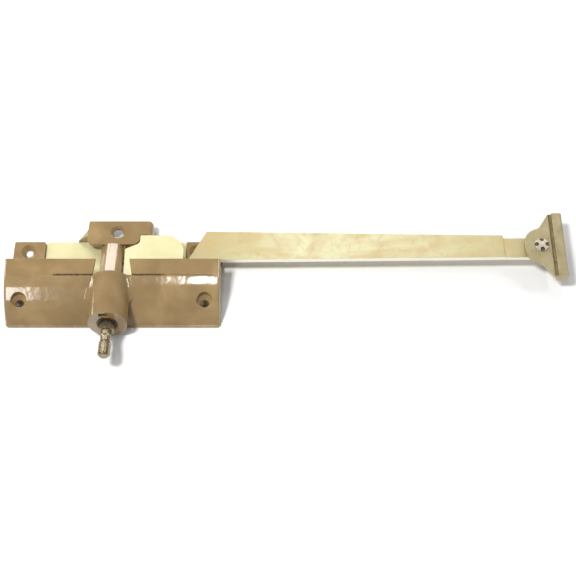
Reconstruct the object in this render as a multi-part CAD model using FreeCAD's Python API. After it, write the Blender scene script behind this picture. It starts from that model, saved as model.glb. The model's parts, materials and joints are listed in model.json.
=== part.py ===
import FreeCAD, Part
import math
import os

# Window crank operator, single arm.  Millimetres, +Z up.
# Origin: on the sill face, midway between the two face screws, in the spindle's plane.
# +X runs along the closed arm, +Y runs outward from the room.
# Every piece is drawn with Y measured from the cover's front edge, and moved at export.

V = FreeCAD.Vector

# ---- driving dimensions -------------------------------------------------------------
COVER_HALF = 70.0            # half the cover's length along X
COVER_DEPTH = 38.5           # front edge to rear ridge
RIDGE_Z = 23.5
CREASE_Y, CREASE_Z = 28.0, 20.9
SKIN = 2.0                   # cover wall
END_WALL = 2.5
LIP_H = 1.5                  # small ledge along the front foot

END_ROUND = 1.8              # rounding of the cover's two ends
CREASE_GROOVE_R = 0.65
CREASE_GROOVE_LEFT, CREASE_GROOVE_RIGHT = -38.0, 66.0

FOOT_Z = 4.0                 # side feet, thickness
FOOT_IN_LEFT, FOOT_IN_RIGHT = -49.0, 45.5   # inner edges of the side feet
REAR_Y = 63.4                # rear edge of feet, floor plate and gear guard
PLATE_T = 2.0                # floor plate

SCREW_R, SCREW_HEAD_R = 2.6, 5.2
FACE_HOLE_X, FACE_HOLE_Y = 60.0, 12.5
FOOT_HOLE_LEFT, FOOT_HOLE_RIGHT, FOOT_HOLE_Y = -60.0, 52.5, 55.0
EAR_HOLE_Y = 66.0

SPINDLE_X = -1.3             # the spindle lies a little left of the cover's middle
TILT = math.radians(10.0)    # the spindle rises towards the room by this angle
MODULE = 1.25
GEAR_TEETH = 32
PIVOT_Y = 33.0
WORM_Z = 8.0                 # worm axis height where it meets the gear
GEAR_T = 4.0
GUARD_T = 1.2
ARM_T = 3.8
GAP = 0.3                    # working gap between layers that move past each other

HUB_R = 12.5
HUB_Z = 14.4                 # the hub's outside is level, only its bore is tilted
HUB_FILLET = 4.0             # blend between hub and cover
HUB_FACE_S = 38.0            # along the spindle from the mesh point to the hub's end face
TIP_S = HUB_FACE_S + 25.0
RUN = 0.05                   # radial running clearance
SNUG = 0.02                  # gap between pieces that are pressed or screwed together

STEP_X = 256.8
RIVET_X, RIVET_Y = 281.0, 51.65

NECK_X, NECK_R = -2.6, 8.0   # the neck's wall is thicker on the side away from the gear
EAR_FRONT, EAR_REAR = 56.5, 74.4
EAR_LEFT, EAR_STEP, EAR_RIGHT = -20.5, 15.0, 23.6
EAR_T, EAR_WALL, EAR_ROUND = 3.0, 2.4, 3.5
EAR_HOLE_R = 3.2
GUARD_LEFT, GUARD_RIGHT, GUARD_FRONT, GUARD_ROUND = 5.7, 44.6, 20.0, 13.0
BASE_SCREWS = [(-42.0, 12.0), (-17.0, 33.0), (9.0, 12.0), (41.0, 12.0)]
BASE_SCREW_R, BASE_SCREW_TOP = 1.35, 8.0
BACKLASH = 0.12              # taken off each flank of worm and gear
SECTOR_FIRST, SECTOR_LAST = -9, 1   # teeth of the sector, counted from the one in mesh at rest
RIVET_HOLE_R = 1.3
SPLINE_R, SPLINE_TEETH = 3.9, 10
TONGUE_R, SHOE_RIVET_R = 7.25, 3.2
SHOE_R, SHOE_HALF = 11.0, 23.2
SHOE_OFFSET = 0.8            # the bar's middle lies a little outside the rivet
BAR_INNER, BAR_T, BAR_H = 8.4, 7.0, 8.6
BAR_RISE = 1.0               # the bar stands above the leaf, behind a round groove

# ---- worked-out dimensions ----------------------------------------------------------
GEAR_R = MODULE * GEAR_TEETH / 2
ADDENDUM = 0.9 * MODULE
DEDENDUM = ADDENDUM + 0.2
GEAR_TIP_R = GEAR_R + ADDENDUM
# with this radius the thread stands upright where it meets the gear, like the gear's teeth
WORM_R = MODULE / (2 * math.sin(TILT))
THREAD_PITCH = math.pi * MODULE / math.cos(TILT)
PIVOT_X = SPINDLE_X + GEAR_R + WORM_R
PIVOT = V(PIVOT_X, PIVOT_Y, 0)
MESH = V(SPINDLE_X, PIVOT_Y, WORM_Z)

GEAR_Z0 = WORM_Z - 0.4 - GEAR_T / 2
GEAR_Z1 = GEAR_Z0 + GEAR_T
GUARD_Z0 = GEAR_Z1 + GAP
GUARD_Z1 = GUARD_Z0 + GUARD_T
ARM_Z0 = GUARD_Z1 + GAP
ARM_Z1 = ARM_Z0 + ARM_T
EAR_Z = GUARD_Z1             # the ear stays just under the arm's path

TONGUE_Z1 = ARM_Z1 - 0.5
LEAF_Z0 = TONGUE_Z1 + 0.6
LEAF_Z1 = LEAF_Z0 + 3.0

# ---- bores and fits along the spindle (radius, and distance from the mesh point) ------
WORM_TIP_R = WORM_R + ADDENDUM
WORM_ROOT_R = WORM_R - DEDENDUM
WORM_BORE_R = 5.3
FRONT_BORE_R = 6.8
FRONT_BORE_S = 13.5
JOURNAL_R = 4.5
REAR_JOURNAL_R = 2.1
REAR_BUSH_R = 4.0
REAR_BUSH_S0, REAR_BUSH_S1 = -19.0, -11.0

# ---- pivot of gear and arm -----------------------------------------------------------
POST_R = 4.0
BUSH_R = 5.5
HUB_BOSS_R = 9.4
ARM_EYE_R = 10.0
SEAL_S = HUB_FACE_S - 2.2


# ---- helpers ------------------------------------------------------------------------
def cylinder(radius, z0, z1, x=0.0, y=0.0):
    return Part.makeCylinder(radius, z1 - z0, V(x, y, z0), V(0, 0, 1))


def ring(outer, inner, z0, z1, x=0.0, y=0.0):
    return cylinder(outer, z0, z1, x, y).cut(cylinder(inner, z0, z1, x, y))


def box(x0, x1, y0, y1, z0, z1):
    return Part.makeBox(x1 - x0, y1 - y0, z1 - z0, V(x0, y0, z0))


def on_spindle(shape):
    """Move a shape drawn about +Z, with z measured from the mesh point, onto the tilted spindle."""
    turned = shape.copy()
    turned.Placement = FreeCAD.Placement(MESH, FreeCAD.Rotation(V(1, 0, 0), 90 - math.degrees(TILT)))
    return turned


def rounded_wire(corners, z):
    """Closed outline through (x, y, radius) corners, each rounded by its own radius."""
    count = len(corners)
    points = [V(x, y, z) for x, y, _ in corners]
    edges = []
    ends = []
    for i in range(count):
        here = points[i]
        radius = corners[i][2]
        before = (points[i - 1] - here).normalize()
        after = (points[(i + 1) % count] - here).normalize()
        half = before.getAngle(after) / 2
        if radius <= 0:
            ends.append((here, None, here))
            continue
        reach = radius / math.tan(half)
        middle_way = (before + after).normalize()
        middle = here + middle_way * (radius / math.sin(half) - radius)
        ends.append((here + before * reach, middle, here + after * reach))
    for i in range(count):
        start, middle, stop = ends[i]
        if middle is not None:
            edges.append(Part.Arc(start, middle, stop).toShape())
        following = ends[(i + 1) % count][0]
        if stop.distanceToPoint(following) > 1e-4:
            edges.append(Part.LineSegment(stop, following).toShape())
    return Part.Wire(edges)


def plate(corners, z0, z1):
    return Part.Face(rounded_wire(corners, z0)).extrude(V(0, 0, z1 - z0))


def side_plate(corners, y0, y1):
    """Plate drawn through (x, z, radius) corners and standing along Y."""
    body = plate(corners, -y1, -y0)
    body.rotate(V(0, 0, 0), V(1, 0, 0), 90)
    return body


def revolved(profile):
    """Solid of revolution about Z from (radius, z) points."""
    points = [V(r, 0, z) for r, z in profile]
    points.append(points[0])
    return Part.Face(Part.makePolygon(points)).revolve(V(0, 0, 0), V(0, 0, 1), 360)


def countersunk_hole(x, y, z_top, z_bottom, radius, head_radius):
    """Through hole with a 90 degree countersink whose rim lies at z_top."""
    deep = head_radius - radius
    cone = Part.makeCone(radius, head_radius, deep, V(x, y, z_top - deep), V(0, 0, 1))
    above = cylinder(head_radius, z_top, z_top + 1, x, y)
    return cylinder(radius, z_bottom, z_top + 1, x, y).fuse([cone, above])


# ---- casing -------------------------------------------------------------------------
def cover_profile(inset):
    """Cross-section of the cover in the YZ plane, drawn inset by a wall thickness."""
    crease = V(0, CREASE_Y, CREASE_Z)
    circle = Part.Arc(V(0, 0.4, 0), V(0, 10.1, 11.6), crease).toShape().Curve
    centre = circle.Center
    radius = circle.Radius - inset

    def on_arc(angle):
        return centre + V(0, math.cos(angle), math.sin(angle)) * radius

    crease_angle = math.atan2(crease.z - centre.z, crease.y - centre.y)
    foot_angle = math.pi - math.asin(-centre.z / radius)
    slope = (RIDGE_Z - CREASE_Z) / (COVER_DEPTH - CREASE_Y)
    back_y = COVER_DEPTH + inset
    corner = on_arc(crease_angle)
    ridge = V(0, back_y, corner.z + slope * (back_y - corner.y))
    edges = [Part.Arc(on_arc(foot_angle), on_arc((foot_angle + crease_angle) / 2), corner).toShape()]
    lines = [corner, ridge, V(0, back_y, 0), on_arc(foot_angle)]
    for start, stop in zip(lines, lines[1:]):
        edges.append(Part.LineSegment(start, stop).toShape())
    return Part.Face(Part.Wire(edges))


def cover_block(inset, half_length):
    face = cover_profile(inset)
    face.translate(V(-half_length, 0, 0))
    return face.extrude(V(2 * half_length, 0, 0))


def rounded_cover():
    """Outer form of the cover, its two ends rounded over."""
    body = cover_block(0, COVER_HALF)
    rim = []
    for edge in body.Edges:
        reach = edge.BoundBox
        if reach.XLength < 0.01 and reach.YLength > 5 and reach.ZLength > 1:
            rim.append(edge)
    return body.makeFillet(END_ROUND, rim)


def hub_block(y_end):
    """Level round hub, its front end cut square to the tilted spindle."""
    y_start = -12
    rod = Part.makeCylinder(HUB_R, y_end - y_start, V(SPINDLE_X, y_start, HUB_Z), V(0, 1, 0))
    waste = on_spindle(cylinder(3 * HUB_R, HUB_FACE_S, HUB_FACE_S + 30))
    return rod.cut(waste)


def cover_with_hub():
    """Outer form of cover and hub, with a blend where the hub's upper half meets the cover."""
    upper = hub_block(COVER_DEPTH).common(box(-20, 20, -12, COVER_DEPTH, HUB_Z, 40))
    body = rounded_cover().fuse(upper).removeSplitter()
    seam = []
    for edge in body.Edges:
        middle = edge.valueAt((edge.FirstParameter + edge.LastParameter) / 2)
        on_hub = abs(math.hypot(middle.x - SPINDLE_X, middle.z - HUB_Z) - HUB_R) < 0.01
        reach = edge.BoundBox
        if on_hub and reach.YMin > 4 and reach.XLength > 0.1 and reach.YLength > 5:
            seam.append(edge)
    return body.makeFillet(HUB_FILLET, seam)


def floor_outline(slack):
    """Outline of the floor plate between the side feet, with a slot for the casing's neck."""
    left = FOOT_IN_LEFT + 0.2 - slack
    right = FOOT_IN_RIGHT - 0.2 + slack
    front = 3.2 - slack
    rear = REAR_Y + slack
    slot_left = NECK_X - NECK_R + slack
    slot_right = NECK_X + NECK_R - slack
    slot_end = CREASE_Y + slack
    return [(left, front, 1), (right, front, 1), (right, rear, 2), (slot_right, rear, 1),
            (slot_right, slot_end, 0), (slot_left, slot_end, 0), (slot_left, rear, 1), (left, rear, 2)]


def guard_outline(slack):
    """Outline of the gear guard: clear of neck and ear on the left, round at the rear right."""
    left = GUARD_LEFT - slack
    right = GUARD_RIGHT + slack
    front = GUARD_FRONT - slack
    return [(left, front, 3), (right, front, 2), (right, REAR_Y + slack, GUARD_ROUND),
            (EAR_STEP + 0.3 - slack, REAR_Y + slack, 0.5), (EAR_STEP + 0.3 - slack, EAR_FRONT + 1, 3.5),
            (left, EAR_FRONT - 3.5, 1)]


def ear():
    """Raised rear ear: a thin table, rounded down at its right end, on walls behind its front edge."""
    table = [(EAR_LEFT, EAR_FRONT, 5), (EAR_STEP, EAR_FRONT, 5), (EAR_STEP, REAR_Y + 0.5, 0.8),
             (EAR_RIGHT, REAR_Y + 0.5, 1), (EAR_RIGHT, EAR_REAR, 3), (EAR_LEFT + 0.8, EAR_REAR, 1)]
    rounded = [(EAR_LEFT - 5, 0, 0), (EAR_RIGHT, 0, 0), (EAR_RIGHT, EAR_Z, EAR_ROUND),
               (EAR_LEFT - 5, EAR_Z, 0)]
    body = plate(table, 0, EAR_Z).common(side_plate(rounded, EAR_FRONT - 1, EAR_REAR + 1))
    wall_front = REAR_Y + 0.2
    under = EAR_Z - EAR_T
    open_front = box(EAR_LEFT - 5, EAR_RIGHT + 5, EAR_FRONT - 1, wall_front, -1, under)
    open_rear = box(EAR_LEFT + EAR_WALL, EAR_RIGHT - EAR_WALL, wall_front - 1, EAR_REAR + 1, -1, under)
    body = body.cut([open_front, open_rear])
    flare = [(EAR_LEFT + 2, EAR_REAR - 1, 0.5), (EAR_LEFT, 67.5, 4), (EAR_LEFT - 7, wall_front + 0.4, 0.5),
             (EAR_LEFT - 7, wall_front, 0), (EAR_LEFT + 2, wall_front, 0)]
    slope = [(EAR_LEFT - 7, 0, 0), (EAR_LEFT + 2, 0, 0), (EAR_LEFT + 2, EAR_Z - 1, 0),
             (EAR_LEFT, EAR_Z - 1, 0), (EAR_LEFT - 7, FOOT_Z - 1, 0)]
    return body.fuse(plate(flare, 0, EAR_Z).common(side_plate(slope, wall_front, EAR_REAR)))


def neck():
    """Round tunnel over the worm, standing on a block that fills the floor plate's slot."""
    tunnel = on_spindle(cylinder(NECK_R, -29, 5.5, NECK_X - SPINDLE_X))
    tunnel = tunnel.common(box(-20, 20, CREASE_Y - 1, EAR_FRONT + 0.5, 0, 30))
    block_rear = EAR_HOLE_Y - EAR_HOLE_R - 0.4   # clear of the ear's screw
    return tunnel.fuse(box(NECK_X - NECK_R, NECK_X + NECK_R, CREASE_Y, block_rear, 0, EAR_Z - EAR_T))


def side_foot(inner, outer):
    """Foot slab from under the cover to the rear edge, between two X positions."""
    corners = [(inner, 4, 0), (outer, 4, 0), (outer, REAR_Y - 1, 1.6), (inner, REAR_Y - 1, 1)]
    return plate(corners, 0, FOOT_Z)


def boss(x, y, radius, z0):
    return cylinder(radius, z0, 30, x, y).common(cover_block(SKIN / 2, COVER_HALF))


def gear_room():
    """Space in the casing for the gear, the guard and the arm's eye."""
    swept = cylinder(GEAR_TIP_R + 0.5, GEAR_Z0 - 0.6, GEAR_Z1 + 0.3, PIVOT_X, PIVOT_Y)
    lower_hub = cylinder(HUB_BOSS_R + 0.8, PLATE_T, GEAR_Z1, PIVOT_X, PIVOT_Y)
    guard_slot = plate(guard_outline(0.25), GEAR_Z1 - 0.1, GUARD_Z1 + 0.2)
    return [swept, lower_hub, guard_slot]


def spindle_bores():
    """Tilted bores, with z measured along the spindle from the mesh point."""
    bores = [cylinder(WORM_BORE_R, REAR_BUSH_S1 + 0.2, FRONT_BORE_S + 0.5),
             cylinder(FRONT_BORE_R, FRONT_BORE_S, HUB_FACE_S + 20),
             cylinder(REAR_BUSH_R + SNUG, REAR_BUSH_S0 - 8, REAR_BUSH_S1 + 0.5)]
    key = box(-4.4, 1.1, FRONT_BORE_R + 0.8, FRONT_BORE_R + 4.0, HUB_FACE_S - 2, HUB_FACE_S + 20)
    return [on_spindle(tool) for tool in bores + [key]]


def notch():
    """Gap in the flat top behind the hub, a little wider at the crease than at the ridge."""
    corners = [(-12.8, CREASE_Y, 0), (12.8, CREASE_Y, 0), (10.8, COVER_DEPTH + 1, 0),
               (-10.8, COVER_DEPTH + 1, 0)]
    return plate(corners, -1, 30)


def face_hole(side):
    """Screw hole through the curved front, with a countersink under a round pocket."""
    x = side * FACE_HOLE_X
    hole = cylinder(SCREW_R, -1, 30, x, FACE_HOLE_Y)
    cone = Part.makeCone(SCREW_R, SCREW_HEAD_R, 2.6, V(x, FACE_HOLE_Y, 10.2), V(0, 0, 1))
    return hole.fuse([cone, cylinder(SCREW_HEAD_R, 12.8, 30, x, FACE_HOLE_Y)])


def crease_grooves():
    """Fine round groove along the crease, on both sides of the notch."""
    grooves = []
    for x0, x1 in ((CREASE_GROOVE_LEFT, -12.0), (12.0, CREASE_GROOVE_RIGHT)):
        start = V(x0, CREASE_Y, CREASE_Z + 0.15)
        grooves.append(Part.makeCylinder(CREASE_GROOVE_R, x1 - x0, start, V(1, 0, 0)))
    return grooves


def lip():
    """Small ledge along the front foot, with rounded corners."""
    corners = [(-COVER_HALF, 0, 2.4), (COVER_HALF, 0, 2.4), (COVER_HALF, 3, 0), (-COVER_HALF, 3, 0)]
    return plate(corners, 0, LIP_H)


def housing():
    body = cover_with_hub()
    hollow = cover_block(SKIN, COVER_HALF - END_WALL).cut(hub_block(CREASE_Y))
    body = body.cut([hollow, notch()])
    additions = [hub_block(CREASE_Y), lip(), neck(), ear()]
    additions.append(side_foot(-COVER_HALF, FOOT_IN_LEFT))
    additions.append(side_foot(FOOT_IN_RIGHT, COVER_HALF))
    for side in (-1, 1):
        additions.append(boss(side * FACE_HOLE_X, FACE_HOLE_Y, 5.8, 0))
    for x, y in BASE_SCREWS:
        additions.append(boss(x, y, 2.8, PLATE_T))
    body = body.fuse(additions)

    cuts = gear_room() + spindle_bores() + crease_grooves() + [face_hole(-1), face_hole(1)]
    cuts.append(plate(floor_outline(0.15), -1, PLATE_T + 0.02))
    cuts.append(countersunk_hole(0, EAR_HOLE_Y, EAR_Z, -1, EAR_HOLE_R, SCREW_HEAD_R - 0.3))
    for x in (FOOT_HOLE_LEFT, FOOT_HOLE_RIGHT):
        cuts.append(countersunk_hole(x, FOOT_HOLE_Y, FOOT_Z, -1, SCREW_R, SCREW_HEAD_R))
    for x, y in BASE_SCREWS:
        cuts.append(cylinder(BASE_SCREW_R + RUN, 0, BASE_SCREW_TOP + 0.5, x, y))
    return body.cut(cuts)


# ---- fixed metalwork ----------------------------------------------------------------
def base_plate():
    body = plate(floor_outline(0), 0, PLATE_T)
    cuts = [cylinder(POST_R - 1 + SNUG, -1, 3, PIVOT_X, PIVOT_Y)]
    for x, y in BASE_SCREWS:
        cuts.append(cylinder(BASE_SCREW_R + 0.15, -1, 3, x, y))
        cuts.append(Part.makeCone(2.9, 1.5, 1.4, V(x, y, 0), V(0, 0, 1)))
    return body.cut(cuts)


def base_screws():
    screws = []
    for x, y in BASE_SCREWS:
        head = Part.makeCone(2.75, 1.4, 1.35, V(x, y, 0.05), V(0, 0, 1))
        shank = cylinder(BASE_SCREW_R, 0.05, BASE_SCREW_TOP, x, y)
        slots = [box(x - 1.3, x + 1.3, y - 0.3, y + 0.3, 0, 0.75),
                 box(x - 0.3, x + 0.3, y - 1.3, y + 1.3, 0, 0.75)]
        screws.append(head.fuse(shank).cut(slots))
    return Part.makeCompound(screws)


def gear_guard():
    """Steel plate over the gear, with a rear and a right flange that stand on the floor plate."""
    body = plate(guard_outline(0), GUARD_Z0, GUARD_Z1)
    rear = box(EAR_STEP + 1.5, 30, REAR_Y - GUARD_T, REAR_Y, PLATE_T, GUARD_Z1)
    right = box(GUARD_RIGHT - GUARD_T, GUARD_RIGHT, 22, 50, PLATE_T, GUARD_Z1)
    body = body.fuse([rear, right])
    return body.cut(cylinder(HUB_BOSS_R + 0.5, GUARD_Z0 - 1, GUARD_Z1 + 1, PIVOT_X, PIVOT_Y))


def pivot_post():
    """Shouldered post riveted into the floor plate, with a groove for its clip."""
    top = ARM_Z1 + 2.6
    profile = [(0, 0), (POST_R - 1, 0), (POST_R - 1, PLATE_T), (POST_R, PLATE_T), (POST_R, top - 1.4),
               (POST_R - 0.8, top - 1.4), (POST_R - 0.8, top - 0.5), (POST_R, top - 0.5),
               (POST_R - 0.5, top), (0, top)]
    post = revolved(profile)
    post.translate(PIVOT)
    return post


def front_bushing():
    """Bronze bush in the hub, its outer end counterbored for the seal."""
    body = ring(FRONT_BORE_R - SNUG, JOURNAL_R + RUN, FRONT_BORE_S + 4.0, HUB_FACE_S + 0.5)
    body = body.cut(cylinder(5.9, SEAL_S, HUB_FACE_S + 1))
    return on_spindle(body)


def rear_bushing():
    return on_spindle(ring(REAR_BUSH_R, REAR_JOURNAL_R + RUN, REAR_BUSH_S0, REAR_BUSH_S1))


def spindle_seal():
    return on_spindle(ring(5.88, JOURNAL_R + RUN, SEAL_S + SNUG, HUB_FACE_S + 0.2))


def lower_washer():
    return ring(HUB_BOSS_R - 0.6, POST_R + RUN, PLATE_T, PLATE_T + 1.0, PIVOT_X, PIVOT_Y)


# ---- crank ---------------------------------------------------------------------------
def worm_thread():
    """Right-handed thread of four turns whose gap meets the gear tooth at the mesh point."""
    turns = 4
    half_pitch = THREAD_PITCH / 2
    start = -1.5 * THREAD_PITCH
    slant = math.tan(math.radians(20.0))
    flank_root = half_pitch / 2 - BACKLASH + DEDENDUM * slant
    flank_tip = half_pitch / 2 - BACKLASH - ADDENDUM * slant
    inner = WORM_ROOT_R - 0.3
    corners = [V(inner, 0, start - flank_root), V(WORM_ROOT_R, 0, start - flank_root),
               V(WORM_TIP_R, 0, start - flank_tip), V(WORM_TIP_R, 0, start + flank_tip),
               V(WORM_ROOT_R, 0, start + flank_root), V(inner, 0, start + flank_root)]
    helix = Part.makeHelix(THREAD_PITCH, turns * THREAD_PITCH, WORM_R)
    helix.translate(V(0, 0, start))
    profile = Part.makePolygon(corners + [corners[0]])
    return Part.Wire(helix.Edges).makePipeShell([profile], True, True)


def worm_shaft():
    """Spindle in one piece: splined tip, collar, journals, thrust shoulder, worm and rear tail."""
    face = HUB_FACE_S
    tail = REAR_BUSH_S0 - 2.2
    profile = [(0, tail), (REAR_JOURNAL_R - 0.3, tail), (REAR_JOURNAL_R, tail + 0.3),
               (REAR_JOURNAL_R, REAR_BUSH_S0 - 1.3), (1.6, REAR_BUSH_S0 - 1.3), (1.6, REAR_BUSH_S0 - 0.3),
               (REAR_JOURNAL_R, REAR_BUSH_S0 - 0.3), (REAR_JOURNAL_R, -10.6), (WORM_ROOT_R, -10.4),
               (WORM_ROOT_R, FRONT_BORE_S - 1), (JOURNAL_R, FRONT_BORE_S + 0.6), (6.2, FRONT_BORE_S + 0.6),
               (6.2, FRONT_BORE_S + 3.2), (JOURNAL_R, FRONT_BORE_S + 3.2), (JOURNAL_R, face + 2.6),
               (4.9, face + 2.6), (4.9, face + 5.4), (4.3, face + 6.0), (3.6, face + 6.0),
               (3.6, face + 9.5), (3.25, face + 10.5), (3.25, face + 14.0), (SPLINE_R, face + 15.0),
               (SPLINE_R, TIP_S - 1.6), (2.9, TIP_S - 0.3), (2.2, TIP_S), (0, TIP_S)]
    body = revolved(profile)
    grooves = []
    for i in range(SPLINE_TEETH):
        angle = 360.0 * i / SPLINE_TEETH
        groove = cylinder(0.55, face + 15.3, TIP_S + 1, SPLINE_R + 0.1, 0)
        groove.rotate(V(0, 0, 0), V(0, 0, 1), angle)
        grooves.append(groove)
    body = body.cut(grooves)
    return on_spindle(body.fuse(worm_thread()))


def thrust_washer():
    washer = ring(6.5, JOURNAL_R + SNUG, FRONT_BORE_S + 3.2 + SNUG, FRONT_BORE_S + 4.0 - RUN)
    return on_spindle(washer)


def retaining_clip():
    clip = ring(3.4, 1.6 + SNUG, REAR_BUSH_S0 - 1.2, REAR_BUSH_S0 - 0.4)
    return on_spindle(clip.cut(box(-1.3, 1.3, 0, 5, REAR_BUSH_S0 - 2, REAR_BUSH_S0)))


# ---- gear and arm --------------------------------------------------------------------
def flank_half_angle(radius):
    """Half of a tooth's angular thickness at a radius, for a 20 degree involute."""
    def involute(angle):
        return math.tan(angle) - angle

    pressure = math.radians(20.0)
    base = GEAR_R * math.cos(pressure)
    here = math.acos(min(1.0, base / max(radius, base)))
    half_at_pitch = math.pi / (2 * GEAR_TEETH) - BACKLASH / GEAR_R
    return half_at_pitch + involute(pressure) - involute(here)


def sector_gear():
    """Toothed sector with a tall hub that passes through the guard and carries the arm."""
    root_r = GEAR_R - DEDENDUM
    points = []
    for k in range(SECTOR_FIRST, SECTOR_LAST + 1):
        middle = math.pi + 2 * math.pi * k / GEAR_TEETH
        for radius, side in ((root_r, -1), (GEAR_R - 0.5, -1), (GEAR_R + 0.4, -1), (GEAR_TIP_R, -1),
                             (GEAR_TIP_R, 1), (GEAR_R + 0.4, 1), (GEAR_R - 0.5, 1), (root_r, 1)):
            angle = middle + side * flank_half_angle(radius)
            points.append(V(radius * math.cos(angle), radius * math.sin(angle), GEAR_Z0))
    points.append(V(0, 0, GEAR_Z0))
    points.append(points[0])
    body = Part.Face(Part.makePolygon(points)).extrude(V(0, 0, GEAR_T))
    body = body.fuse(cylinder(HUB_BOSS_R, PLATE_T + 1.0 + RUN, ARM_Z0))
    body = body.cut([cylinder(BUSH_R + SNUG, 0, 30)] + rivet_places(RIVET_HOLE_R))
    body.translate(PIVOT)
    return body


def rivet_places(radius):
    """Three cylinders round the pivot, drawn about the origin."""
    pins = []
    for i in range(3):
        angle = math.radians(30 + 120 * i)
        pins.append(cylinder(radius, 0, 30, 7.5 * math.cos(angle), 7.5 * math.sin(angle)))
    return pins


def drive_rivets():
    """Three rivets that lock the arm on the gear's hub, with low round heads."""
    low = PLATE_T + 1.6
    pins = []
    for pin, head in zip(rivet_places(RIVET_HOLE_R - SNUG), rivet_places(RIVET_HOLE_R + 0.35)):
        shank = pin.common(cylinder(20, low, ARM_Z1 + 0.5))
        cap = head.common(cylinder(20, ARM_Z1 + SNUG, ARM_Z1 + 0.6))
        pins.append(shank.fuse(cap))
    group = Part.makeCompound(pins)
    group.translate(PIVOT)
    return group


def gear_bushing():
    return ring(BUSH_R, POST_R + RUN, PLATE_T + 1.0 + RUN, ARM_Z1, PIVOT_X, PIVOT_Y)


def upper_washer():
    return ring(5.7, POST_R + RUN, ARM_Z1 + RUN, ARM_Z1 + 0.9, PIVOT_X, PIVOT_Y)


def pivot_clip():
    z0 = ARM_Z1 + 1.25
    clip = ring(5.6, POST_R - 0.8 + SNUG, z0, z0 + 0.8, PIVOT_X, PIVOT_Y)
    return clip.cut(box(PIVOT_X - 2, PIVOT_X + 2, PIVOT_Y, PIVOT_Y + 8, z0 - 1, z0 + 2))


def swing_arm():
    """Flat arm: eye over the gear, slanted shoulder, long taper, stepped tongue with round end."""
    eye_low = PIVOT_Y - ARM_EYE_R
    eye_high = PIVOT_Y + ARM_EYE_R
    bar = [(PIVOT_X, eye_low, 0), (28.5, eye_low + 0.4, 0), (51.0, 28.5, 6), (66.0, 42.3, 6),
           (STEP_X, 44.4, 0), (STEP_X, 60.9, 0.6), (59.7, 63.9, 1), (47.4, 40.3, 5),
           (PIVOT_X + 1, eye_high, 0), (PIVOT_X, eye_high, 0)]
    body = plate(bar, ARM_Z0, ARM_Z1)
    body = body.fuse(cylinder(ARM_EYE_R, ARM_Z0, ARM_Z1, PIVOT_X, PIVOT_Y))
    tongue = box(STEP_X - 1, RIVET_X, 44.4, 44.4 + 2 * TONGUE_R, ARM_Z0, TONGUE_Z1)
    end = cylinder(TONGUE_R, ARM_Z0, TONGUE_Z1, RIVET_X, RIVET_Y)
    body = body.fuse([tongue, end]).removeSplitter()
    holes = rivet_places(RIVET_HOLE_R) + [cylinder(BUSH_R + SNUG, 0, 30)]
    for hole in holes:
        hole.translate(PIVOT)
    holes.append(cylinder(SHOE_RIVET_R, 0, 30, RIVET_X, RIVET_Y))
    return body.cut(holes)


# ---- shoe ----------------------------------------------------------------------------
def shoe_rivet():
    """Rivet fixed in the tongue; its upper head is staked into a raised X and holds the shoe."""
    low = ARM_Z0 - 0.8 - 1.2
    top = LEAF_Z1 + 0.1
    shank = SHOE_RIVET_R - SNUG
    profile = [(0, low), (4.6, low), (5.0, low + 0.4), (5.0, low + 1.2), (shank, low + 1.2), (shank, top),
               (4.8, top), (4.8, top + 0.7), (4.2, top + 1.3), (0, top + 1.5)]
    body = revolved(profile)
    dents = []
    for i in range(4):
        dent = cylinder(1.5, top + 0.45, top + 3, 3.6, 0)
        dent.rotate(V(0, 0, 0), V(0, 0, 1), 90 * i)
        dents.append(dent)
    body = body.cut(dents)
    body.translate(V(RIVET_X, RIVET_Y, 0))
    return body


def shoe_washer():
    return ring(6.4, SHOE_RIVET_R + RUN, TONGUE_Z1, LEAF_Z0 - 0.02, RIVET_X, RIVET_Y)


def shoe_spring_washer():
    """Dished washer under the tongue that keeps the shoe from rattling."""
    profile = [(SHOE_RIVET_R + RUN, -0.8), (4.9, -0.35), (4.9, 0), (4.6, 0), (SHOE_RIVET_R + RUN, -0.4)]
    washer = revolved(profile)
    washer.translate(V(RIVET_X, RIVET_Y, ARM_Z0))
    return washer


def sash_shoe():
    """T-shaped shoe: a bell-shaped leaf under the rivet head and a bar that runs in the sash track."""
    left = RIVET_X - SHOE_R
    inner = RIVET_X + BAR_INNER
    outer = inner + BAR_T
    middle = RIVET_Y + SHOE_OFFSET
    low, high = middle - SHOE_HALF, middle + SHOE_HALF
    shoulder = SHOE_R + 1.5
    leaf = [(left, RIVET_Y - SHOE_R, SHOE_R - 0.1), (RIVET_X - 1, RIVET_Y - shoulder, 5),
            (inner - 2, low, 1), (inner + 2, low, 0), (inner + 2, high, 0), (inner - 2, high, 1),
            (RIVET_X - 1, RIVET_Y + shoulder, 5), (left, RIVET_Y + SHOE_R, SHOE_R - 0.1)]
    bar_top = LEAF_Z1 + BAR_RISE
    section = [(inner, bar_top - BAR_H, 0.4), (outer, bar_top - BAR_H, 0.4), (outer, bar_top, 1.6),
               (inner, bar_top, 0.6)]
    body = plate(leaf, LEAF_Z0, LEAF_Z1).fuse(side_plate(section, low, high)).removeSplitter()
    groove = Part.makeCylinder(1.2, high - low + 2, V(inner - 0.9, low - 1, LEAF_Z1 + 0.3), V(0, 1, 0))
    return body.cut([groove, cylinder(SHOE_RIVET_R + RUN, 0, 30, RIVET_X, RIVET_Y)])


NODES = [
    housing, base_plate, base_screws, gear_guard, pivot_post, front_bushing, rear_bushing, spindle_seal,
    lower_washer, worm_shaft, thrust_washer, retaining_clip, sector_gear, drive_rivets, gear_bushing,
    upper_washer, pivot_clip, swing_arm, shoe_rivet, shoe_washer, shoe_spring_washer, sash_shoe,
]

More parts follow.
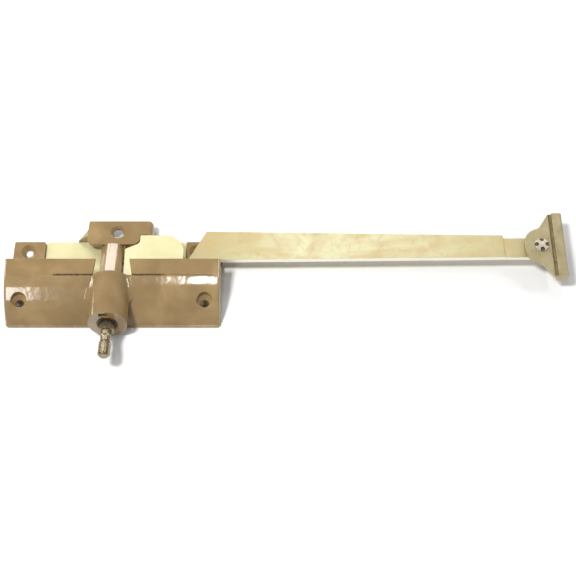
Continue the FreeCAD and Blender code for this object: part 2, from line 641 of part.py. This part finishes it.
os.makedirs("parts", exist_ok=True)
for make in NODES:
    shape = make()
    solids = len(shape.Solids)
    shape.translate(V(0, -FACE_HOLE_Y, 0))
    print(make.__name__, "solids", solids, "valid", shape.isValid(), "volume", round(shape.Volume, 1))
    shape.exportStep("parts/" + make.__name__ + ".step")
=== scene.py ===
import json
import math

import bpy
from mathutils import Matrix, Vector

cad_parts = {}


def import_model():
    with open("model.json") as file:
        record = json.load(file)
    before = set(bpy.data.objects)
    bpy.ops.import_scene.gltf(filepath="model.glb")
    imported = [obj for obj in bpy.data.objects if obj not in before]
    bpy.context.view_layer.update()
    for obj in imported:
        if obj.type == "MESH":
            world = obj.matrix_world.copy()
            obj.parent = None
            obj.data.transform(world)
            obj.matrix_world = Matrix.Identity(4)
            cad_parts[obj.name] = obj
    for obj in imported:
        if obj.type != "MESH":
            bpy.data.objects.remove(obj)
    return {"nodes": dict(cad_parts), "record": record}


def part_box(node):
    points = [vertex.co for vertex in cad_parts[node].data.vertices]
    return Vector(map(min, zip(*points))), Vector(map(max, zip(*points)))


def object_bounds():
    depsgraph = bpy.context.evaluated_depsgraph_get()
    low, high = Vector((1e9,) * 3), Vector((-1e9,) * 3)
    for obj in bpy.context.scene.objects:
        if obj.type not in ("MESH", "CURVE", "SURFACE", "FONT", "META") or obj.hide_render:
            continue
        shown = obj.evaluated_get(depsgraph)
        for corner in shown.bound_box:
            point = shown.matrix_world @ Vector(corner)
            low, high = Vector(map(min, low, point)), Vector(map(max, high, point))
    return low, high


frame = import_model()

# Window crank operator.  Metres, in the CAD's frame: +X along the closed arm, +Z up.
NODES = frame["nodes"]
cad_lo, cad_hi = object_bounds()


# ---- node helpers -------------------------------------------------------------------
class Shader:
    """A material with a principled shader and short calls for the nodes that feed it."""

    def __init__(self, name):
        self.material = bpy.data.materials.new(name)
        self.material.use_nodes = True
        self.tree = self.material.node_tree
        self.principled = self.tree.nodes["Principled BSDF"]
        self.place = self.tree.nodes.new("ShaderNodeTexCoord").outputs["Object"]

    def set(self, **values):
        for name, value in values.items():
            self.principled.inputs[name.replace("_", " ")].default_value = value

    def feed(self, source, socket):
        self.tree.links.new(source, self.principled.inputs[socket])

    def stretched(self, x, y, z):
        """Object coordinates, scaled differently along each axis."""
        node = self.tree.nodes.new("ShaderNodeMapping")
        node.inputs["Scale"].default_value = (x, y, z)
        self.tree.links.new(self.place, node.inputs["Vector"])
        return node.outputs["Vector"]

    def noise(self, size, detail=3.0, roughness=0.5, distortion=0.0, place=None):
        """Noise whose features are about size metres wide."""
        node = self.tree.nodes.new("ShaderNodeTexNoise")
        node.inputs["Scale"].default_value = 1 / size
        node.inputs["Detail"].default_value = detail
        node.inputs["Roughness"].default_value = roughness
        node.inputs["Distortion"].default_value = distortion
        self.tree.links.new(place or self.place, node.inputs["Vector"])
        return node.outputs["Fac"]

    def ramp(self, source, stops):
        """Colour ramp through (position, colour) stops; a number stands for a grey."""
        node = self.tree.nodes.new("ShaderNodeValToRGB")
        elements = node.color_ramp.elements
        while len(elements) < len(stops):
            elements.new(0.5)
        for element, (position, colour) in zip(elements, stops):
            element.position = position
            element.color = (colour,) * 3 + (1,) if isinstance(colour, float) else (*colour, 1)
        self.tree.links.new(source, node.inputs["Fac"])
        return node.outputs["Color"]

    def mixed(self, share, a, b):
        """Colour a where share is 0 and b where it is 1; a and b are sockets or colours."""
        node = self.tree.nodes.new("ShaderNodeMix")
        node.data_type = "RGBA"
        self.tree.links.new(share, node.inputs[0])
        for socket, value in ((node.inputs[6], a), (node.inputs[7], b)):
            if isinstance(value, tuple):
                socket.default_value = (*value, 1)
            else:
                self.tree.links.new(value, socket)
        return node.outputs[2]

    def bumped(self, height, depth, normal=None):
        """Normal of a relief that is depth metres high."""
        node = self.tree.nodes.new("ShaderNodeBump")
        node.inputs["Strength"].default_value = 1.0
        node.inputs["Distance"].default_value = depth
        self.tree.links.new(height, node.inputs["Height"])
        if normal is not None:
            self.tree.links.new(normal, node.inputs["Normal"])
        return node.outputs["Normal"]

    def edges(self, radius):
        """Normal that rounds every edge by radius metres."""
        node = self.tree.nodes.new("ShaderNodeBevel")
        node.samples = 6
        node.inputs["Radius"].default_value = radius
        return node.outputs["Normal"]

    def calculated(self, operation, a, b):
        """Result of a math node; a and b are sockets or numbers."""
        node = self.tree.nodes.new("ShaderNodeMath")
        node.operation = operation
        for socket, value in zip(node.inputs, (a, b)):
            if isinstance(value, float):
                socket.default_value = value
            else:
                self.tree.links.new(value, socket)
        return node.outputs[0]

    def worn_edges(self, radius, speckle):
        """Mask that is near 1 in patches along convex and concave edges and 0 elsewhere."""
        geometry = self.tree.nodes.new("ShaderNodeNewGeometry")
        turned = self.tree.nodes.new("ShaderNodeVectorMath")
        turned.operation = "DOT_PRODUCT"
        self.tree.links.new(geometry.outputs["Normal"], turned.inputs[0])
        self.tree.links.new(self.edges(radius), turned.inputs[1])
        rim = self.ramp(turned.outputs["Value"], [(0.80, 1.0), (0.97, 0.0)])
        patches = self.ramp(self.noise(speckle, detail=4), [(0.45, 0.0), (0.6, 1.0)])
        return self.calculated("MULTIPLY", rim, patches)

    def facing(self, axis):
        """1 on faces that look along an axis, either way, and 0 on the others."""
        geometry = self.tree.nodes.new("ShaderNodeNewGeometry")
        split = self.tree.nodes.new("ShaderNodeSeparateXYZ")
        self.tree.links.new(geometry.outputs["Normal"], split.inputs[0])
        size = self.calculated("ABSOLUTE", split.outputs[axis], 0.0)
        return self.ramp(size, [(0.5, 0.0), (0.8, 1.0)])

    def along(self, axis, start, stop):
        """0 to 1 between two coordinates, in metres, along one axis."""
        split = self.tree.nodes.new("ShaderNodeSeparateXYZ")
        self.tree.links.new(self.place, split.inputs[0])
        node = self.tree.nodes.new("ShaderNodeMapRange")
        node.inputs["From Min"].default_value = start
        node.inputs["From Max"].default_value = stop
        self.tree.links.new(split.outputs[axis], node.inputs["Value"])
        return node.outputs["Result"]


def srgb(red, green, blue):
    """Linear colour for 0 to 255 screen values."""
    def linear(value):
        value /= 255
        return value / 12.92 if value < 0.04045 else ((value + 0.055) / 1.055) ** 2.4
    return (linear(red), linear(green), linear(blue))


# ---- materials ----------------------------------------------------------------------
def paint_tint(s):
    """Cloudy taupe bronze, the colour of the casing."""
    clouds = s.noise(0.02, detail=4, distortion=0.4)
    return s.ramp(clouds, [
        (0.3, srgb(121, 97, 58)), (0.52, srgb(133, 108, 67)), (0.72, srgb(147, 122, 80))])


def casing_paint():
    """Taupe bronze enamel on a die casting: soft orange peel, cloudy gloss, thin at the edges."""
    s = Shader("casing_paint")
    tint = paint_tint(s)
    s.feed(s.mixed(s.worn_edges(0.0006, 0.004), tint, srgb(166, 152, 118)), "Base Color")
    s.feed(s.ramp(s.noise(0.005, detail=4), [(0.3, 0.3), (0.7, 0.42)]), "Roughness")
    s.set(Metallic=0.0, Specular_IOR_Level=0.2, Coat_Weight=1.0, Coat_Roughness=0.1, Coat_IOR=1.9)
    peel = s.bumped(s.noise(0.0016, detail=2), 0.000018, normal=s.edges(0.0005))
    s.feed(s.bumped(s.noise(0.012, detail=2), 0.00012, normal=peel), "Normal")
    ripple = s.bumped(s.noise(0.01, detail=2, distortion=0.5), 0.00011, normal=s.edges(0.0005))
    s.feed(s.bumped(s.noise(0.0022, detail=2), 0.00002, normal=ripple), "Coat Normal")
    return s.material


def bright_plating():
    """Cream yellow zinc plating on pressed sheet steel, with faint rolling lines."""
    s = Shader("bright_plating")
    clouds = s.noise(0.025, detail=3, distortion=0.5)
    tint = s.ramp(clouds, [
        (0.3, srgb(220, 213, 160)), (0.5, srgb(229, 222, 174)), (0.7, srgb(236, 231, 190))])
    s.feed(s.mixed(s.worn_edges(0.0004, 0.003), tint, srgb(200, 190, 160)), "Base Color")
    lines = s.noise(0.0006, detail=2, place=s.stretched(0.05, 1, 1))
    s.feed(s.ramp(lines, [(0.3, 0.36), (0.7, 0.5)]), "Roughness")
    s.set(Metallic=0.55)
    s.feed(s.bumped(lines, 0.000006, normal=s.edges(0.0003)), "Normal")
    return s.material


def arm_plating():
    """Pale brass plating on a rolled bar: lengthwise grain, warm patches, browner towards both ends,
    with a painted highlight on the faces that look along Y.
    """
    s = Shader("arm_plating")
    root_x, end_x = 0.05, 0.29
    length = s.ramp(s.along("X", root_x, end_x), [
        (0.0, srgb(193, 178, 134)), (0.1, srgb(206, 195, 150)), (0.28, srgb(232, 226, 186)),
        (0.6, srgb(228, 219, 176)), (0.85, srgb(208, 196, 150)), (1.0, srgb(178, 164, 128))])
    patches = s.noise(0.014, detail=5, distortion=1.0, place=s.stretched(0.5, 1, 1))
    warm = s.mixed(s.ramp(patches, [(0.42, 0.0), (0.66, 0.6)]), length, srgb(206, 178, 126))
    stains = s.noise(0.009, detail=6, roughness=0.65, distortion=1.5)
    tint = s.mixed(s.ramp(stains, [(0.5, 0.0), (0.75, 0.45)]), warm, srgb(176, 172, 112))
    # Painted highlight: the faces looking along Y, the bar's front and back edges, are made lighter.
    painted_highlight_sides = s.mixed(s.facing("Y"), tint, srgb(252, 248, 232))
    s.feed(s.mixed(s.worn_edges(0.0004, 0.003), painted_highlight_sides, srgb(250, 246, 226)), "Base Color")
    grain = s.noise(0.0005, detail=3, place=s.stretched(0.02, 1, 1))
    s.feed(s.ramp(grain, [(0.3, 0.36), (0.7, 0.5)]), "Roughness")
    s.set(Metallic=0.55)
    fine = s.bumped(grain, 0.000008, normal=s.edges(0.0005))
    s.feed(s.bumped(s.noise(0.008, detail=2), 0.00004, normal=fine), "Normal")
    return s.material


def shoe_metal():
    """Duller brass-coloured plating on the shoe, brighter where it is rubbed."""
    s = Shader("shoe_metal")
    clouds = s.noise(0.008, detail=4)
    tint = s.ramp(clouds, [(0.3, srgb(166, 153, 115)), (0.7, srgb(191, 178, 141))])
    s.feed(s.mixed(s.worn_edges(0.0006, 0.003), tint, srgb(206, 196, 160)), "Base Color")
    s.feed(s.ramp(s.noise(0.002), [(0.3, 0.34), (0.7, 0.5)]), "Roughness")
    s.set(Metallic=0.6)
    s.feed(s.bumped(s.noise(0.0009), 0.00002, normal=s.edges(0.0005)), "Normal")
    return s.material


def plain_metal(name, dark, light, roughness, metallic=0.9, relief=0.00001):
    """Turned or pressed metal with slight mottling."""
    s = Shader(name)
    clouds = s.noise(0.003, detail=3)
    s.feed(s.ramp(clouds, [(0.3, dark), (0.7, light)]), "Base Color")
    s.feed(s.ramp(s.noise(0.0015), [(0.3, roughness - 0.05), (0.7, roughness + 0.08)]), "Roughness")
    s.set(Metallic=metallic)
    s.feed(s.bumped(s.noise(0.0006), relief, normal=s.edges(0.0002)), "Normal")
    return s.material


def painted_groove_shade(name, dark, light, clean_from=None):
    """Painted shade that darkens the floor of a groove; past clean_from, in metres along X, it is only
    paint.
    """
    fade = 0.006
    s = Shader(name)
    tint = s.ramp(s.noise(0.002, detail=4), [(0.35, dark), (0.65, light)])
    if clean_from is not None:
        tint = s.mixed(s.along("X", clean_from - fade, clean_from), tint, paint_tint(s))
    s.feed(tint, "Base Color")
    s.feed(s.ramp(s.noise(0.001), [(0.3, 0.6), (0.7, 0.85)]), "Roughness")
    s.feed(s.bumped(s.noise(0.0007, detail=3), 0.00004), "Normal")
    return s.material


FINISHES = {
    "casing_paint": casing_paint(),
    "bright_plating": bright_plating(),
    "arm_plating": arm_plating(),
    "shoe_metal": shoe_metal(),
    "spindle_steel": plain_metal(
        "spindle_steel", srgb(134, 122, 96), srgb(168, 155, 128), 0.28, relief=0.000003),
    "gear_steel": plain_metal("gear_steel", srgb(120, 118, 112), srgb(150, 148, 142), 0.32),
    "bearing_bronze": plain_metal("bearing_bronze", srgb(92, 72, 50), srgb(124, 100, 70), 0.45),
    "screw_steel": plain_metal("screw_steel", srgb(170, 165, 150), srgb(200, 196, 182), 0.3),
    "rivet_steel": plain_metal(
        "rivet_steel", srgb(214, 204, 182), srgb(238, 230, 210), 0.3, metallic=0.7),
    "spring_steel": plain_metal("spring_steel", srgb(70, 68, 66), srgb(95, 92, 88), 0.35),
    "nylon": plain_metal("nylon", srgb(214, 208, 190), srgb(226, 222, 206), 0.5, metallic=0.0),
    "seal_rubber": plain_metal("seal_rubber", srgb(28, 28, 28), srgb(44, 43, 42), 0.6, metallic=0.0),
}


def painted_faces(name, finish, chosen):
    """Gives the faces of a CAD node whose centre and normal are chosen a second material."""
    mesh = NODES[name].data
    mesh.materials.append(finish)
    second = len(mesh.materials) - 1
    place = NODES[name].matrix_world
    for face in mesh.polygons:
        if chosen(place @ face.center, face.normal):
            face.material_index = second


SLOT_OF = {part["node"]: part["material_slot"] for part in frame["record"]["subparts"]}

for name, obj in NODES.items():
    obj.data.materials.clear()
    obj.data.materials.append(FINISHES[SLOT_OF[name]])

# Painted shade darkens the groove along the cover's crease, the shoe's groove and the rivet's dents.
# The places and radii below are those of the CAD, in metres; each radius is a little larger.
CREASE_Y, CREASE_Z, CREASE_R = 0.0155, 0.0209, 0.00068
RIVET_X, RIVET_Y = 0.281, 0.03915
DENT_OFFSET, DENT_R = 0.0036, 0.00153
shoe_lo, shoe_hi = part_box("sash_shoe")
GROOVE_X, GROOVE_Z, GROOVE_R = RIVET_X + 0.0075, shoe_hi.z - 0.0007, 0.00125
UNDER_DENTS_Z = shoe_hi.z - 0.0005
# Dark painted shade for the three grooves; the crease's shade stops a little past 36 mm along X.
crease_painted_shade = painted_groove_shade("crease_painted_shade", srgb(56, 44, 28), srgb(104, 86, 58), clean_from=0.036)
rivet_dent_painted_shade = painted_groove_shade("rivet_dent_painted_shade", srgb(66, 56, 40), srgb(98, 86, 62))
shoe_groove_painted_shade = painted_groove_shade("shoe_groove_painted_shade", srgb(96, 82, 54), srgb(124, 108, 74))


def in_crease(place, normal):
    """Faces of the crease's groove, whose normals point to its axis."""
    inward = Vector((0, CREASE_Y - place.y, CREASE_Z - place.z))
    return inward.length < CREASE_R and inward.dot(normal) > 0.8 * inward.length


def in_shoe_groove(place, normal):
    """Faces of the groove beside the shoe's bar."""
    return math.hypot(place.x - GROOVE_X, place.z - GROOVE_Z) < GROOVE_R


def in_dents(place, normal):
    """Faces of the four dents in the rivet's head."""
    x, y = abs(place.x - RIVET_X), abs(place.y - RIVET_Y)
    return math.hypot(max(x, y) - DENT_OFFSET, min(x, y)) < DENT_R and place.z > UNDER_DENTS_Z


# The grooves' faces get the dark painted shade.
painted_faces("housing", crease_painted_shade, in_crease)
painted_faces("sash_shoe", shoe_groove_painted_shade, in_shoe_groove)
painted_faces("shoe_rivet", rivet_dent_painted_shade, in_dents)


# ---- floor, light and camera ---------------------------------------------------------
def floor():
    """Plain white floor just under the part."""
    half = 3.0
    mesh = bpy.data.meshes.new("floor")
    corners = [(-half, -half, 0), (half, -half, 0), (half, half, 0), (-half, half, 0)]
    mesh.from_pydata(corners, [], [(0, 1, 2, 3)])
    obj = bpy.data.objects.new("floor", mesh)
    bpy.context.scene.collection.objects.link(obj)
    gap = 0.0001
    obj.location.z = cad_lo.z - gap
    s = Shader("floor_white")
    s.set(Base_Color=(0.73, 0.73, 0.73, 1), Roughness=0.9)
    mesh.materials.append(s.material)


def area_light(name, size, power, location, target, mirrored=True):
    """Soft box with its long side level; mirrored tells whether it shows in shiny surfaces."""
    data = bpy.data.lights.new(name, "AREA")
    data.shape = "RECTANGLE"
    data.size, data.size_y = size
    data.energy = power
    obj = bpy.data.objects.new(name, data)
    bpy.context.scene.collection.objects.link(obj)
    back = (Vector(location) - Vector(target)).normalized()
    side = (Vector((1, 0, 0)) - back * back.x).normalized()
    turn = Matrix((side, back.cross(side), back)).transposed()
    obj.matrix_world = Matrix.Translation(location) @ turn.to_4x4()
    obj.visible_glossy = mirrored


def world(strength):
    """Even white surroundings."""
    made = bpy.data.worlds.new("studio")
    made.use_nodes = True
    background = made.node_tree.nodes["Background"]
    background.inputs["Color"].default_value = (1.0, 1.0, 1.0, 1)
    background.inputs["Strength"].default_value = strength
    bpy.context.scene.world = made


def camera():
    """Camera straight in front of the part, looking down on it."""
    data = bpy.data.cameras.new("camera")
    data.sensor_width = 36
    data.lens = 68.75
    obj = bpy.data.objects.new("camera", data)
    bpy.context.scene.collection.objects.link(obj)
    aim = Vector((0.1139, 0.0169, 0))
    distance = 0.7298
    elevation = math.radians(62)
    back = Vector((0, -math.cos(elevation), math.sin(elevation)))
    obj.location = aim + back * distance
    obj.rotation_euler = (-back).to_track_quat("-Z", "Y").to_euler()
    bpy.context.scene.camera = obj


bpy.context.scene.view_settings.view_transform = "Standard"
floor()
world(0.33)
area_light("key", (0.2, 0.2), 16.0, (-0.34, -0.17, 1.2), (0.05, 0.03, 0), mirrored=False)
area_light("back_strip", (1.6, 0.3), 7.5, (-0.05, 1.17, 0.95), (0.0, 0.03, 0))
area_light("left_back_box", (0.5, 0.3), 2.4, (-0.93, 1.03, 0.55), (0.0, 0.03, 0))
area_light("right_box", (0.07, 0.24), 1.0, (-0.025, -0.19, 1.2), (0.05, 0.01, 0))
area_light("left_box", (0.14, 0.5), 1.5, (-0.42, -0.66, 1.05), (-0.05, 0.01, 0))
area_light("left_side_box", (0.12, 0.3), 2.6, (-1.3, 0.25, 0.56), (-0.05, 0.01, 0))
area_light("right_side_box", (0.12, 0.3), 2.6, (1.1, 0.17, 0.93), (-0.05, 0.01, 0))
camera()
